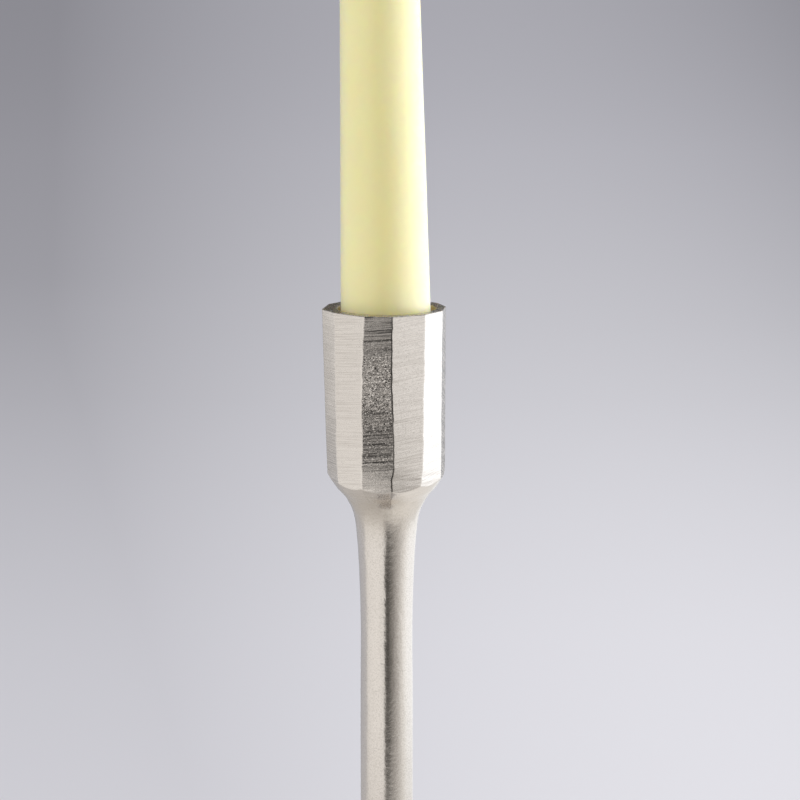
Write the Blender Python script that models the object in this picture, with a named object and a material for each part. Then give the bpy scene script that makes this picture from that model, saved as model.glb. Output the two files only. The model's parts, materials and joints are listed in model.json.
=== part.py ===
"""A candlestick holding a taper candle.

The cup, its flare and the slender stem are one casting. Its cup is ground by hand to twelve
sides of slightly different widths, and bored for the candle. A hidden stud ties the casting
to a weighted foot whose edge is ground to the same twelve sides. The candle, with its wick,
lifts straight out of the cup.

Metres, +Z up. The origin is the centre of the underside of the felt pad.
"""

import math

import bmesh
import bpy

MM = 0.001
GAP = 0.3 * MM  # between pieces that touch

# Heights of the whole
HOLDER_HEIGHT = 305 * MM
FOOT_HEIGHT = 62 * MM  # to the seam where the stem is screwed on

# The twelve corners between the ground sides: degrees, 0 at the front and growing to the
# right as seen from the front, and how far the corner stands out at the rim, in millimetres.
# Ground by hand, the sides differ in width, and the wall is left thicker on the left.
CORNERS = (
    (-82, 1.4),
    (-57.4, 0.5),
    (-20, 1.0),
    (5, 0.8),
    (39, 0.1),
    (69.4, 0.1),
    (96, 0.2),
    (121.5, 0.3),
    (152.7, 0),
    (186, 0.5),
    (217, 0.8),
    (247, 1.0),
)
STEPS_PER_SIDE = 3

# The cup's ground sides, as (depth below the rim, radius, share of each corner's standing
# out), the first two in millimetres
GROUND_SIDES = ((0, 14.2, 1), (39.5, 14.15, 0.2), (41, 13.65, 0), (43.4, 12.2, 0))
# From there the cup flares into the round stem, which has a slight waist, as (depth below
# the rim, radius) in millimetres.
FLARE = (
    (43.8, 11.75),
    (45.9, 10.0),
    (48.4, 8.65),
    (50.9, 7.85),
    (54.6, 7.32),
    (60, 6.9),
    (68, 6.54),
    (80, 6.3),
    (94, 6.4),
)
STEM_RADIUS = 6.4 * MM
SOCKET_RADIUS = 11.75 * MM
SOCKET_DEPTH = 32 * MM
SOCKET_CHAMFER = 0.35 * MM

# Foot, as (height, radius) in millimetres, from the neck down to the ground edge
FOOT_FLARE = (
    (55, 6.6),
    (47, 7.5),
    (40, 9.2),
    (34, 12),
    (29.5, 16.5),
    (26, 23),
    (23.5, 32),
    (21.8, 42),
    (21, 48.6),
)
FOOT_SIDES = ((20.4, 50.3), (18.4, 52.4), (2.3, 53.6))
FOOT_WALL_RADIUS = 46.3 * MM  # of the hollow underneath
FOOT_HOLLOW = 13 * MM

# Weight inside the foot
BALLAST_RADIUS = 46 * MM
BALLAST_HEIGHT = 12.6 * MM
COUNTERBORE_RADIUS = 12 * MM
COUNTERBORE_DEPTH = 9.5 * MM
EDGE_BREAK = 0.6 * MM

# M6 fastening on the axis
STUD_RADIUS = 3 * MM
STUD_LENGTH = 74 * MM
STUD_IN_STEM = 14 * MM
HOLE_RADIUS = STUD_RADIUS + GAP
NUT_ACROSS_FLATS = 10 * MM
NUT_HEIGHT = 5 * MM
WASHER_RADIUS = 6 * MM
WASHER_THICKNESS = 1.6 * MM
SPRING_WASHER_RADIUS = 5.9 * MM
SPRING_WASHER_THICKNESS = 1.3 * MM
SPRING_WASHER_RISE = 0.25 * MM
SPRING_WASHER_SPLIT = 12  # degrees

# Felt
FELT_RADIUS = 50 * MM
FELT_THICKNESS = 2 * MM

# Candle, standing in the socket with a slight lean to the left
CANDLE_LENGTH = 254 * MM
CANDLE_BUTT_RADIUS = 11.05 * MM
CANDLE_RIM_RADIUS = 10.77 * MM  # where it leaves the cup
CANDLE_TAPER = 0.0168  # radius lost per unit of height above the rim
CANDLE_TIP = ((18, 0), (12, 0.75), (6.5, 2.1), (2.5, 3.9), (0, 5.6))  # mm below the top, mm of radius lost
CANDLE_LEAN = math.radians(1)
CANDLE_OFFSET = 0.35 * MM
WICK_RADIUS = 1 * MM
WICK_HOLE_RADIUS = WICK_RADIUS + GAP
WICK_OUT = 10 * MM

FINE, COARSE = 36, 18  # sides of large and of small round pieces


def circle(radius, z, sides):
    """Points round a circle, anticlockwise from above."""
    turns = [2 * math.pi * i / sides for i in range(sides)]
    return [(radius * math.cos(a), radius * math.sin(a), z) for a in turns]


def round_sides():
    """(corner, next corner, part of the way between them) for each point round the sides."""
    last_turn = [(degrees + 360, out) for degrees, out in CORNERS[:1]]
    for pair in zip(CORNERS, [*CORNERS[1:], *last_turn]):
        for step in range(STEPS_PER_SIDE):
            yield *pair, step / STEPS_PER_SIDE


def ground_ring(radius, z, standing_out=0.0):
    """A twelve-cornered outline, its sides straight between the corners."""
    points = []
    for (start, start_out), (end, end_out), part in round_sides():
        ends = (start, start_out, 1 - part), (end, end_out, part)
        x = y = 0.0
        for degrees, out, weight in ends:
            reach = weight * (radius + standing_out * out * MM)
            x += reach * math.sin(math.radians(degrees))
            y -= reach * math.cos(math.radians(degrees))
        points.append((x, y, z))
    return points


def turned_ring(radius, z):
    """A round outline with its points in line with those of ground_ring."""
    angles = [math.radians(a + part * (b - a)) for (a, _), (b, _), part in round_sides()]
    return [(radius * math.sin(a), -radius * math.cos(a), z) for a in angles]


def hexagon_ring(across, z, largest):
    """A hexagon's outline, its corners cut back to the radius largest."""
    points = []
    for x, y, _ in circle(1, 0, FINE):
        angle = math.atan2(y, x)
        to_middle = (angle + math.pi / 6) % (math.pi / 3) - math.pi / 6
        radius = min(across / 2 / math.cos(to_middle), largest)
        points.append((radius * x, radius * y, z))
    return points


def loft(name, rings, material, closed=False):
    """One solid through rings of equally many points. Closed joins the last ring to the first."""
    mesh = bpy.data.meshes.new(name)
    shape = bmesh.new()
    loops = [[shape.verts.new(point) for point in ring] for ring in rings]
    pairs = list(zip(loops, loops[1:]))
    if closed:
        pairs.append((loops[-1], loops[0]))
    else:
        shape.faces.new(loops[0])
        shape.faces.new(loops[-1])
    for lower, upper in pairs:
        for i, corner in enumerate(lower):
            shape.faces.new((lower[i - 1], corner, upper[i], upper[i - 1]))
    bmesh.ops.recalc_face_normals(shape, faces=shape.faces)
    shape.to_mesh(mesh)
    shape.free()
    mesh.materials.append(material)
    mesh.shade_smooth()
    mesh.set_sharp_from_angle(angle=math.radians(24))
    piece = bpy.data.objects.new(name, mesh)
    bpy.context.scene.collection.objects.link(piece)
    return piece


def turned(name, outline, material, sides=COARSE, closed=False):
    """A round piece from its (radius, height) outline."""
    return loft(name, [circle(r, z, sides) for r, z in outline], material, closed)


def surface(name, color, roughness, metallic=0.0):
    material = bpy.data.materials.new(name)
    material.use_nodes = True
    shader = material.node_tree.nodes["Principled BSDF"]
    shader.inputs["Base Color"].default_value = (*color, 1)
    shader.inputs["Roughness"].default_value = roughness
    shader.inputs["Metallic"].default_value = metallic
    return material


def place(piece, parent, height, offset=0.0):
    piece.parent = parent
    piece.location = (offset, 0, height)


def axis_empty(name, height):
    empty = bpy.data.objects.new(name, None)
    empty.location = (0, 0, height)
    bpy.context.scene.collection.objects.link(empty)
    return empty


def make_socket_stem():
    """Cup, flare and stem in one casting. Its own zero height is the rim."""
    bottom = FOOT_HEIGHT + GAP - HOLDER_HEIGHT
    hole_top = bottom + STUD_IN_STEM + 2 * GAP
    rings = [
        turned_ring(SOCKET_RADIUS, -SOCKET_DEPTH),
        turned_ring(SOCKET_RADIUS, -SOCKET_CHAMFER),
        turned_ring(SOCKET_RADIUS + SOCKET_CHAMFER, 0),
    ]
    rings += [ground_ring(r * MM, -depth * MM, share) for depth, r, share in GROUND_SIDES]
    rings += [turned_ring(r * MM, -depth * MM) for depth, r in FLARE]
    rings += [
        turned_ring(STEM_RADIUS, bottom),
        turned_ring(HOLE_RADIUS, bottom),
        turned_ring(HOLE_RADIUS, hole_top),
    ]
    nickel = surface("nickel_cup_and_stem", (0.66, 0.63, 0.59), 0.34, 1)
    return loft("socket_stem", rings, nickel)


def make_foot():
    """Casting with a flared neck, a ground edge and a hollow underside."""
    bottom = FOOT_SIDES[-1][0] * MM
    roof = bottom + FOOT_HOLLOW
    rings = [turned_ring(STEM_RADIUS, FOOT_HEIGHT)]
    rings += [turned_ring(r * MM, height * MM) for height, r in FOOT_FLARE]
    rings += [ground_ring(r * MM, height * MM) for height, r in FOOT_SIDES]
    rings += [
        turned_ring(FOOT_WALL_RADIUS, bottom),
        turned_ring(FOOT_WALL_RADIUS, roof),
        turned_ring(HOLE_RADIUS, roof),
        turned_ring(HOLE_RADIUS, FOOT_HEIGHT),
    ]
    nickel = surface("nickel_foot", (0.66, 0.63, 0.59), 0.36, 1)
    return loft("foot", rings, nickel, closed=True)


def make_ballast():
    """Iron disc that fills the foot, with a counterbore for the nut in its underside."""
    inner, outer = BALLAST_RADIUS - EDGE_BREAK, BALLAST_HEIGHT - EDGE_BREAK
    outline = (
        (HOLE_RADIUS, BALLAST_HEIGHT),
        (inner, BALLAST_HEIGHT),
        (BALLAST_RADIUS, outer),
        (BALLAST_RADIUS, EDGE_BREAK),
        (inner, 0),
        (COUNTERBORE_RADIUS, 0),
        (COUNTERBORE_RADIUS, COUNTERBORE_DEPTH),
        (HOLE_RADIUS, COUNTERBORE_DEPTH),
    )
    iron = surface("ballast_iron", (0.07, 0.068, 0.066), 0.7, 0.6)
    return turned("ballast", outline, iron, FINE, closed=True)


def make_stud():
    """Threaded rod with chamfered ends, plain here."""
    tip = STUD_RADIUS - EDGE_BREAK
    outline = (
        (tip, 0),
        (STUD_RADIUS, EDGE_BREAK),
        (STUD_RADIUS, STUD_LENGTH - EDGE_BREAK),
        (tip, STUD_LENGTH),
    )
    return turned("stud", outline, surface("stud_steel", (0.55, 0.55, 0.53), 0.35, 1))


def make_washer():
    outline = (
        (HOLE_RADIUS, 0),
        (WASHER_RADIUS, 0),
        (WASHER_RADIUS, WASHER_THICKNESS),
        (HOLE_RADIUS, WASHER_THICKNESS),
    )
    steel = surface("washer_steel", (0.58, 0.58, 0.56), 0.38, 1)
    return turned("washer", outline, steel, COARSE, closed=True)


def make_spring_washer():
    """A square-sectioned ring, cut across and sprung apart at the cut."""
    rings = []
    opening = math.radians(SPRING_WASHER_SPLIT)
    for step in range(COARSE + 1):
        part = step / COARSE
        angle = opening / 2 + part * (2 * math.pi - opening)
        low = part * SPRING_WASHER_RISE
        corners = (
            (HOLE_RADIUS, low),
            (SPRING_WASHER_RADIUS, low),
            (SPRING_WASHER_RADIUS, low + SPRING_WASHER_THICKNESS),
            (HOLE_RADIUS, low + SPRING_WASHER_THICKNESS),
        )
        rings.append([(r * math.cos(angle), r * math.sin(angle), z) for r, z in corners])
    return loft("spring_washer", rings, surface("spring_steel", (0.30, 0.30, 0.31), 0.42, 1))


def make_nut():
    """Hexagon nut, its corners chamfered at both ends."""
    corner = NUT_ACROSS_FLATS / 2 / math.cos(math.pi / 6)
    chamfered = NUT_ACROSS_FLATS / 2 * 0.97
    rings = [
        circle(HOLE_RADIUS, 0, FINE),
        hexagon_ring(NUT_ACROSS_FLATS, 0, chamfered),
        hexagon_ring(NUT_ACROSS_FLATS, EDGE_BREAK, corner),
        hexagon_ring(NUT_ACROSS_FLATS, NUT_HEIGHT - EDGE_BREAK, corner),
        hexagon_ring(NUT_ACROSS_FLATS, NUT_HEIGHT, chamfered),
        circle(HOLE_RADIUS, NUT_HEIGHT, FINE),
    ]
    return loft("nut", rings, surface("nut_steel", (0.58, 0.57, 0.54), 0.35, 1), closed=True)


def make_felt_pad():
    outline = ((FELT_RADIUS, 0), (FELT_RADIUS, FELT_THICKNESS))
    return turned("felt_pad", outline, surface("felt", (0.05, 0.05, 0.055), 0.95), FINE)


def candle_outline():
    """Butt, the part inside the socket, the long taper, the tip, and the hole for the wick."""
    butt_edge = 0.3 * MM
    in_socket = SOCKET_DEPTH - GAP
    outline = [
        (CANDLE_BUTT_RADIUS - butt_edge, 0),
        (CANDLE_BUTT_RADIUS, butt_edge),
        (CANDLE_RIM_RADIUS, in_socket),
    ]
    for below_top, lost in CANDLE_TIP:
        height = CANDLE_LENGTH - below_top * MM
        tapered = CANDLE_RIM_RADIUS - CANDLE_TAPER * (height - in_socket)
        outline.append((tapered - lost * MM, height))
    outline += [(WICK_HOLE_RADIUS, CANDLE_LENGTH), (WICK_HOLE_RADIUS, 0)]
    return outline


def make_candle():
    wax = surface("pale_yellow_wax", (0.86, 0.82, 0.50), 0.45)
    return turned("candle", candle_outline(), wax, FINE, closed=True)


def make_wick():
    """Wick from just above the butt to above the tip, its top end trimmed."""
    top = CANDLE_LENGTH + WICK_OUT - GAP
    outline = ((WICK_RADIUS, 0), (WICK_RADIUS, top - EDGE_BREAK), (WICK_RADIUS - EDGE_BREAK, top))
    return turned("wick", outline, surface("waxed_cotton", (0.85, 0.82, 0.70), 0.9), COARSE)


def build():
    for item in list(bpy.data.objects):
        bpy.data.objects.remove(item, do_unlink=True)

    # The holder
    holder = axis_empty("holder_axis", 0)
    foot_bottom = FOOT_SIDES[-1][0] * MM
    ballast_bottom = foot_bottom + FOOT_HOLLOW - GAP - BALLAST_HEIGHT
    washer_bottom = ballast_bottom + COUNTERBORE_DEPTH - GAP - WASHER_THICKNESS
    spring_height = SPRING_WASHER_THICKNESS + SPRING_WASHER_RISE
    spring_bottom = washer_bottom - GAP - spring_height
    nut_bottom = spring_bottom - GAP - NUT_HEIGHT
    stud_bottom = FOOT_HEIGHT + GAP + STUD_IN_STEM - STUD_LENGTH
    place(make_socket_stem(), holder, HOLDER_HEIGHT)
    place(make_foot(), holder, 0)
    place(make_ballast(), holder, ballast_bottom)
    place(make_washer(), holder, washer_bottom)
    place(make_spring_washer(), holder, spring_bottom)
    place(make_nut(), holder, nut_bottom)
    place(make_stud(), holder, stud_bottom)
    place(make_felt_pad(), holder, 0)

    # The candle, which slides up along the socket's axis
    seat = axis_empty("candle_seat", HOLDER_HEIGHT - SOCKET_DEPTH)
    candle = make_candle()
    lean_drop = CANDLE_BUTT_RADIUS * math.sin(CANDLE_LEAN)
    place(candle, seat, GAP + lean_drop, CANDLE_OFFSET)
    candle.rotation_euler = (0, -CANDLE_LEAN, 0)
    place(make_wick(), candle, GAP)


build()
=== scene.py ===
"""Looks of the candlestick: fine meshes, materials, floor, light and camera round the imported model."""

import json
import math

import bmesh
import bpy
import numpy as np
from mathutils import Matrix, Vector, noise

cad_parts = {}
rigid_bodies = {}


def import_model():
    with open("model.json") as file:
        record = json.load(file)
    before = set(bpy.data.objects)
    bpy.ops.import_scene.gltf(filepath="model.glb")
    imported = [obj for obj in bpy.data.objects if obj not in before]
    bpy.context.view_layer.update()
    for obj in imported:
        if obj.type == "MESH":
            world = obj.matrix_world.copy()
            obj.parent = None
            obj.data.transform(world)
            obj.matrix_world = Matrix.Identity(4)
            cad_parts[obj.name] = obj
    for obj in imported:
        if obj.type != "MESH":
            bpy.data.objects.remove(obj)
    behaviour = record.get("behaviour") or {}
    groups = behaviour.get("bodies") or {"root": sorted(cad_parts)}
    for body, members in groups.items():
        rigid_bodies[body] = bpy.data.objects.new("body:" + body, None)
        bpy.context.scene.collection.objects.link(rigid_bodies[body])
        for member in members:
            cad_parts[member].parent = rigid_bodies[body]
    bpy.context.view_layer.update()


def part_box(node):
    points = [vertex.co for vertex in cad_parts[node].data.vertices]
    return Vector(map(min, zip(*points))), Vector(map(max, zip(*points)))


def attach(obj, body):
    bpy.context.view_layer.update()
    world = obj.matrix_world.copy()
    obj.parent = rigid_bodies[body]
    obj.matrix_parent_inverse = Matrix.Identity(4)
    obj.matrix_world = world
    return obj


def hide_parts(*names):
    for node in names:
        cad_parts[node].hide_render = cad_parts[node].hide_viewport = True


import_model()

MM = 0.001

# Height of the cup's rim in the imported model, in metres
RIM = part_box("socket_stem")[1].z

# Depths below the rim, radii and heights are in millimetres from here on.

# Cup: each corner between two ground sides, as its direction in degrees (0 at the front,
# growing to the right) at each of these depths, and how far it stands out at the rim
CORNER_DEPTHS = (0, 12, 24, 36, 40.5, 43.4)
CORNERS = (
    ((-82, -82, -82, -82, -82.5, -84), 1.4),
    ((-57.0, -57.0, -56.7, -56, -54.8, -52), 0.5),
    ((-19.9, -22.9, -23.8, -23.6, -24.6, -25.2), 1.1),
    ((5.6, 5.0, 6.1, 7.2, 5.2, 5.6), 0.7),
    ((40.5, 39.2, 38.5, 37.6, 36, 34.4), 0.1),
    ((69.2, 68.2, 67.8, 67.4, 67.4, 67.8), 0.1),
    ((96, 96.6, 96.2, 95.4, 95.6, 95.8), 0.2),
    ((121.5, 121, 122, 123, 122.6, 122.5), 0.3),
    ((152.7, 153.5, 153, 152, 151.8, 151.5), 0),
    ((186, 185.2, 185.4, 186.6, 187, 187), 0.5),
    ((217, 217.6, 216.6, 216, 216.2, 216.4), 0.8),
    ((247, 247.4, 248, 247.2, 246.8, 246.4), 1.0),
)
# Radius of the corners by depth, and the share of their standing out that is left there
SIDE_RADIUS = ((0, 14.2), (20, 14.18), (39, 14.15), (43, 14.05), (46, 14.0))
SIDE_SHARE = ((0, 1), (39.5, 0.2), (43, 0.1), (46, 0))
# How much lower the casting's narrowing begins in the direction of each corner
CASTING_DROPS = (0.3, 1.3, 1.9, 2.3, 1.2, 0.5, 0.0, 0.4, 1.0, 0.6, 1.1, 0.5)
# How the grinding lines slope on each side, in degrees. The first side is the one that
# starts at the first corner.
SIDE_SLANTS = (-1, -6, -5, -8, -12, 22, 3, -6, 10, 2, -4, 6)
# How grainy the grinding left each side, and how much it is scored: one level, or
# (depth, level) where it changes on the way down
COARSE_GRAIN = ((4, 0.5), (9, 0.8), (13, 1.0), (25, 1.0), (29, 0.75), (35, 0.8), (38, 0.5), (43, 0.35))
COARSE_SCORES = ((5, 1.0), (11, 0.5), (16, 0.3), (19, 0.4), (23, 0.9), (36, 1.0), (38, 0.2))
LEFT_SCORES = ((0, 0.12), (25, 0.15), (34, 0.28))
BACK_SCORES = ((0, 0.5), (20, 0.2), (30, 0.8))
SIDE_GRAIN = (0.35, 0.25, COARSE_GRAIN, 0.2, 0.2, 0.4, 0.5, 0.3, 0.8, 0.4, 0.5, 0.7)
SIDE_SCORES = (LEFT_SCORES, 0.04, COARSE_SCORES, 0.06, 0.0, 0.5, 0.3, 0.2, BACK_SCORES, 0.2, 0.3, 0.4)
# On flat rows: cosine and sine of the lines' direction, and where their map starts, clear
# of the sides, whose maps start this far apart
FLAT_COSINE, FLAT_SINE = 0.8, 0.6
FLAT_START = 500
SIDE_APART = 40
# The corner with a painted shade line along it, and how dark that painted shade is: (depth, level)
PAINTED_SHADE_LINE_CORNER = 3
PAINTED_SHADE_LINE_LEVELS = ((0, 1.0), (22, 1.0), (28, 0.6), (43, 0.7))
# How much brown the outside of the cup gets under its ground sides: (depth, level)
OUTSIDE_BROWN_LEVELS = ((43, 0), (46, 0.15), (51, 0.12), (57, 0))
# The casting under the ground sides, down to the round stem: (depth, radius)
CASTING = (
    (0, 17), (36, 16.2), (38.4, 15.25), (39.7, 14.42), (41.0, 13.63), (42.2, 12.86),
    (43.4, 12.05), (44.7, 10.95), (45.9, 10.0), (47.15, 9.27), (48.4, 8.66), (49.7, 8.15),
    (50.9, 7.83), (52.4, 7.57), (54.6, 7.32), (60, 6.9), (68, 6.54), (80, 6.3), (92, 6.38),
    (110, 6.4), (250, 6.4),
)
SOCKET_RADIUS = 11.75
SOCKET_DEPTH = 32.0
SOCKET_CHAMFER = 0.35
# Floor of the socket up to its wall, dipped as a drill leaves it: (radius, depth)
SOCKET_FLOOR = (
    (0.4, SOCKET_DEPTH + 2.2),
    (6, SOCKET_DEPTH + 0.9),
    (11.2, SOCKET_DEPTH),
    (11.6, SOCKET_DEPTH - 0.3),
)
STUD_HOLE_RADIUS = 3.3
# Lower end of the stem with the hole for the stud: (radius, height above the end)
STEM_END = ((6.1, 0), (3.7, 0), (STUD_HOLE_RADIUS, 0.4), (STUD_HOLE_RADIUS, 14.6), (0.3, 15.8))

# Foot: (height, radius) of the round casting, and of the corners of its ground sides
FOOT_CASTING = (
    (62, 6.4), (55, 6.6), (47, 7.5), (40, 9.2), (34, 12), (29.5, 16.5), (26, 23), (23.5, 32),
    (21.8, 42), (20.9, 49), (20.2, 52), (19, 54), (16, 56), (2.3, 58),
)
FOOT_SIDE_RADIUS = ((2.3, 53.55), (16, 52.7), (19, 51.9), (22, 50))
# Its broken lower edge: its height, and its share of the radius above it
FOOT_LEVEL = 2.3
FOOT_EDGE_SHARE = 0.9945
# Height where its outside ends, and (radius, height) of its top and its hollow underside
FOOT_TOP = 61.97
FOOT_NECK = ((3.3, 61.9), (3.6, 62.22), (6.15, 62.22))
FOOT_WALL_RADIUS = 46.3
FOOT_ROOF = 15.3
FOOT_HOLLOW = (
    (FOOT_WALL_RADIUS + 0.3, FOOT_LEVEL),
    *((FOOT_WALL_RADIUS, height) for height in (2.6, 6, 10, 14.3)),
    (FOOT_WALL_RADIUS - 0.3, FOOT_ROOF - 0.3),
    *((radius, FOOT_ROOF) for radius in (FOOT_WALL_RADIUS - 1, 36, 24, 12, 3.6)),
    (STUD_HOLE_RADIUS, FOOT_ROOF + 0.3),
    (STUD_HOLE_RADIUS, 38),
)

# Parts of the way along a side where its mesh columns stand, close together at corners
SIDE_STEPS = (0.0, 0.018, 0.036, 0.08, 0.16, 0.26, 0.36, 0.45, 0.55, 0.64, 0.74, 0.84, 0.92, 0.964, 0.982)
# The same on the foot, whose sides are wider
FOOT_STEPS = (0.0, 0.008, 0.016, 0.04, *SIDE_STEPS[3:13], 0.984, 0.992)
# How far each side bulges in its middle, and how far under the casting its grinding fades out
SIDE_BULGE = 0.04
SIDE_FADE = 0.06

# Candle: its radius at the butt and at the rim, how fast it tapers from there, how much of
# the radius is missing at (distance from the tip), and the room under the butt
BUTT_RADIUS = 11.05
MOUTH_RADIUS = 10.77
TAPER = 0.0168
TIP_LOSS = ((0, 5.15), (0.8, 4.5), (2.5, 3.4), (5.5, 2.15), (10, 0.95), (16, 0.2), (26, 0))
BUTT_GAP = 0.3
CANDLE_LENGTH = 254.0
CANDLE_LEAN = math.radians(1)
CANDLE_SEAT = Vector(
    (0.35 * MM, 0, RIM - SOCKET_DEPTH * MM + BUTT_GAP * MM + BUTT_RADIUS * MM * math.sin(CANDLE_LEAN))
)

# M6 thread: its pitch, and the radius of its crest and its root on the stud and in the nut
THREAD_PITCH = 1.0
STUD_THREAD = (3.0, 2.42)
NUT_THREAD = (3.1, 2.52)
NUT_HALF_WIDTH = 5
BALLAST_HOLE = 12.0
FELT_RADIUS = 50.0


# ---------------------------------------------------------------- shapes


def curve_through(points):
    """A smooth function through (x, y) points, x rising, that doesn't overshoot between them."""
    xs, ys = (np.array(v, float) for v in zip(*sorted(points)))
    steps = np.diff(ys) / np.diff(xs)
    before, after = np.append(steps[:1], steps), np.append(steps, steps[-1:])
    slopes = (before + after) / 2
    limit = 3 * np.minimum(np.abs(before), np.abs(after))
    slopes = np.where(before * after <= 0, 0, np.clip(slopes, -limit, limit))

    def value(x):
        x = np.clip(np.asarray(x, float), xs[0], xs[-1])
        i = np.clip(np.searchsorted(xs, x, side="right") - 1, 0, len(steps) - 1)
        width = xs[i + 1] - xs[i]
        t = (x - xs[i]) / width
        start = (1 + 2 * t) * (1 - t) ** 2 * ys[i] + t * (1 - t) ** 2 * width * slopes[i]
        end = t * t * (3 - 2 * t) * ys[i + 1] + t * t * (t - 1) * width * slopes[i + 1]
        return start + end

    return value


def ease(x, low, high):
    """From 0 at low to 1 at high, with soft ends."""
    x = min(max((x - low) / (high - low), 0.0), 1.0)
    return x * x * (3 - 2 * x)


def rough(x, y=0.0, seed=0.0):
    """Smooth noise between about -1 and 1 whose features are about 1 apart."""
    return noise.noise((x, y, seed))


def tube(name, rows, caps=(False, False), closed=False):
    """Quads through rows of equally many points, in millimetres, with flat end caps on request."""
    rows = np.asarray(rows, float) * MM
    n_rows, n_cols = rows.shape[:2]
    here = np.arange(n_cols)
    following = np.roll(here, -1)
    faces = []
    for row in range(n_rows if closed else n_rows - 1):
        low, high = row * n_cols, (row + 1) % n_rows * n_cols
        faces += np.stack([low + here, low + following, high + following, high + here], 1).tolist()
    if caps[0]:
        faces.append(here[::-1].tolist())
    if caps[1]:
        faces.append((here + (n_rows - 1) * n_cols).tolist())
    mesh = bpy.data.meshes.new(name)
    mesh.from_pydata(rows.reshape(-1, 3).tolist(), [], faces)
    return link(bpy.data.objects.new(name, mesh))


def link(piece):
    bpy.context.scene.collection.objects.link(piece)
    return piece


def outward(piece, sharp):
    """Turns the faces outward and shades them smooth, with hard edges above sharp degrees."""
    shape = bmesh.new()
    shape.from_mesh(piece.data)
    bmesh.ops.recalc_face_normals(shape, faces=shape.faces)
    shape.to_mesh(piece.data)
    shape.free()
    piece.data.shade_smooth()
    piece.data.set_sharp_from_angle(angle=math.radians(sharp))


def corner_mask(columns):
    """1 at the corners between ground sides and 0 elsewhere, for one row."""
    steps = [1.0 if min(part, 1 - part) < 0.02 else 0.0 for part in columns]
    return np.array(steps * len(CORNERS))


def level_at(depth, levels):
    """The level at a depth, out of one level or of (depth, level) pairs."""
    return np.interp(depth, *zip(*levels)) if isinstance(levels, tuple) else levels


def side_mask(by_side, depth, columns):
    """The level of each ground side at a depth, for one row."""
    return np.repeat([level_at(depth, levels) for levels in by_side], len(columns))


def painted_shade_line_mask(depth):
    """The painted shade line along one corner of the cup, for one row."""
    row = np.zeros(len(SIDE_STEPS) * len(CORNERS))
    corner = PAINTED_SHADE_LINE_CORNER * len(SIDE_STEPS)
    row[corner - 1 : corner + 1] = level_at(depth, PAINTED_SHADE_LINE_LEVELS)
    return row


def filled(rows, level):
    """The same level for every point of some rows."""
    return [np.full(len(rows[0]), float(level))] * len(rows)


def give(piece, name, values):
    """Stores one number for each point, for the materials."""
    layer = piece.data.attributes.new(name, "FLOAT", "POINT")
    layer.data.foreach_set("value", np.asarray(values, np.float32).ravel())


def even_turn(columns):
    turn = 2 * math.pi * np.arange(columns) / columns
    return np.stack([np.cos(turn), np.sin(turn)], 1)


def ring(directions, radius, height):
    """Points at one height, radius times the given unit directions from the axis."""
    radius = np.broadcast_to(np.asarray(radius, float), len(directions))
    height = np.broadcast_to(np.asarray(height, float), len(directions))
    return np.column_stack([directions * radius[:, None], height])


def unit_directions(row):
    """Unit directions from the axis to the points of a row."""
    return row[:, :2] / np.linalg.norm(row[:, :2], axis=1)[:, None]


def ends(node):
    """Lowest and highest height of a CAD node."""
    return (corner.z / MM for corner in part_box(node))


def spaced(start, *runs):
    """Values from start, in runs of (step, end)."""
    values = [start]
    for step, end in runs:
        count = max(1, round((end - values[-1]) / step))
        values += list(np.linspace(values[-1], end, count + 1)[1:])
    return values


class Sides:
    """Twelve hand-ground sides: where each corner is, and where each side's grinding ends."""

    def __init__(self, directions, radii, waver, columns=SIDE_STEPS, seed=0.0, brushed=lambda level: 0.0):
        self.directions, self.radii, self.brushed = directions, radii, brushed
        self.waver, self.columns, self.seed = waver, columns, seed
        self.count = len(directions)

    def corner(self, k, level):
        """Place of corner k at a level, on a slightly wavering line."""
        k %= self.count
        radius = float(self.radii[k](level))
        slow = rough(level / 6, k * 7.3, self.seed)
        fast = 0.8 * rough(level / 1.5, k * 3.1, self.seed + 5)
        fast += 0.35 * rough(level / 0.6, k * 1.7, self.seed)
        turn = math.radians(float(self.directions[k](level))) + self.waver * (slow + fast) / radius
        return radius * math.sin(turn), -radius * math.cos(turn)

    def row(self, level, height, casting):
        """(points, how much each is ground) round the object at one level.

        casting gives the radius of the unground casting at a level, a place counted in
        corners from the first, and a direction.
        """
        corners = [self.corner(k, level) for k in range(self.count + 1)]
        points, ground = [], []
        for k in range(self.count):
            (x0, y0), (x1, y1) = corners[k], corners[k + 1]
            for part in self.columns:
                x, y = x0 + part * (x1 - x0), y0 + part * (y1 - y0)
                turn = math.atan2(y, x)
                middle = 4 * part * (1 - part)
                reach = math.hypot(x, y) + SIDE_BULGE * middle
                reach += 0.015 * rough(level / 4, part * 1.5, self.seed + k)
                reach += 0.006 * rough(level / 0.7, part * 2.5 + k * 9, self.seed + 3)
                round_reach = casting(level, k + part, turn)
                on = min(max((round_reach - reach) / SIDE_FADE, 0.0), 1.0)
                ground.append(max(on, self.brushed(level)))
                reach = min(reach, round_reach)
                points.append((reach * math.cos(turn), reach * math.sin(turn), height))
        return self.chamfer(np.array(points)), ground

    def chamfer(self, points):
        """Pulls each corner back onto the line between its neighbours."""
        step = len(self.columns)
        at = np.arange(0, len(points), step)
        points[at] = (points[at - 1] + points[at + 1]) / 2
        return points


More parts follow.
